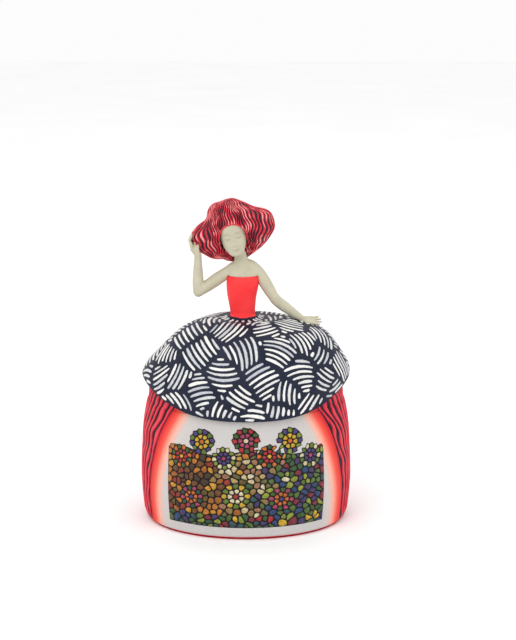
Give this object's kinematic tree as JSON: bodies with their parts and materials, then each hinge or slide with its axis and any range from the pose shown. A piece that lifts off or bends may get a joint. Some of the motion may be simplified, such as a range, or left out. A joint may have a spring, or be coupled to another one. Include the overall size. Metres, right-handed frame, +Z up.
{
  "type": "figurine jewellery box",
  "caption": "Oval trinket box shaped as a lady in a full gown; the overskirt and figure lift off as the lid, and a wind-up comb-and-cylinder movement sits under the compartment.",
  "frame": {"origin": "centre of the box's oval plan, at the underside of the foot pad", "axes": "+Z up, the lady faces -Y, +X is to the viewer's right"},
  "size_m": [0.1048, 0.0806, 0.1615],
  "materials": {
    "painted_skirt": "satin painted cast resin",
    "foam": "dense foam rubber",
    "board": "grey board",
    "flock": "short flock on a formed tray",
    "plate": "moulded black",
    "steel": "bright",
    "cast_frame": "die cast",
    "brass": "turned",
    "lacquer": "satin navy-black on cast resin",
    "ring": "moulded",
    "red_paint": "satin painted cast resin",
    "skin": "matt ivory cast resin",
    "hair_paint": "satin painted cast resin"
  },
  "bodies": {
    "base": {"skirt_box": "painted_skirt", "foot_pad": "foam", "compartment_floor": "board", "flocked_tray": "flock", "base_plate": "plate", "base_screws": "steel", "bedplate": "cast_frame", "bed_screws": "steel", "spring_barrel": "brass", "mainspring": "steel", "governor_cock": "brass", "cock_screw": "steel", "comb": "steel", "comb_screws": "steel", "plunger_guide": "brass", "plunger_bush": "brass", "plunger_spring": "steel"},
    "winding": {"winding_arbor": "steel", "crown_wheel": "brass", "winding_key": "brass"},
    "cylinder": {"cylinder_drum": "brass", "cylinder_arbor": "steel", "cylinder_pinion": "steel", "cylinder_wheel": "brass"},
    "layshaft": {"layshaft": "steel", "layshaft_pinion": "steel", "worm_wheel": "brass"},
    "governor": {"worm_shaft": "steel", "fly": "brass"},
    "plunger": {"stop_plunger": "steel"},
    "lid": {"overskirt": "lacquer", "locating_ring": "ring", "figure_dowel": "steel", "bodice": "red_paint", "bust": "skin", "neck_pin": "steel", "head": "skin", "hair": "hair_paint", "right_arm": "skin", "left_arm": "skin"}
  },
  "joints": [
    {"name": "key_turn", "type": "hinge", "parent": "base", "child": "winding", "pos_m": [-0.017, 0, 0.0065], "axis": [0, 0, 1], "continuous": true},
    {"name": "cylinder_turn", "type": "hinge", "parent": "base", "child": "cylinder", "pos_m": [0.0085, 0, 0.0296], "axis": [1, 0, 0], "continuous": true},
    {"name": "layshaft_turn", "type": "hinge", "parent": "base", "child": "layshaft", "pos_m": [0.0253, 0.008, 0.0236], "axis": [1, 0, 0], "continuous": true},
    {"name": "governor_turn", "type": "hinge", "parent": "base", "child": "governor", "pos_m": [0.0266, 0.0145, 0.025], "axis": [0, 0, 1], "continuous": true},
    {"name": "plunger_rise", "type": "slide", "parent": "base", "child": "plunger", "axis": [0, 0, 1], "range_m": [0, 0.003], "deforming": ["plunger_spring"]},
    {"name": "lid_lift", "type": "slide", "parent": "base", "child": "lid", "axis": [0, 0, 1], "range_m": [0, 0.06]}
  ],
  "couplings": [
    {"joint": "cylinder_turn", "follows": "key_turn", "ratio": 3},
    {"joint": "layshaft_turn", "follows": "key_turn", "ratio": -9},
    {"joint": "governor_turn", "follows": "key_turn", "ratio": 180},
    {"joint": "plunger_rise", "follows": "lid_lift", "ratio": 0.05}
  ]
}
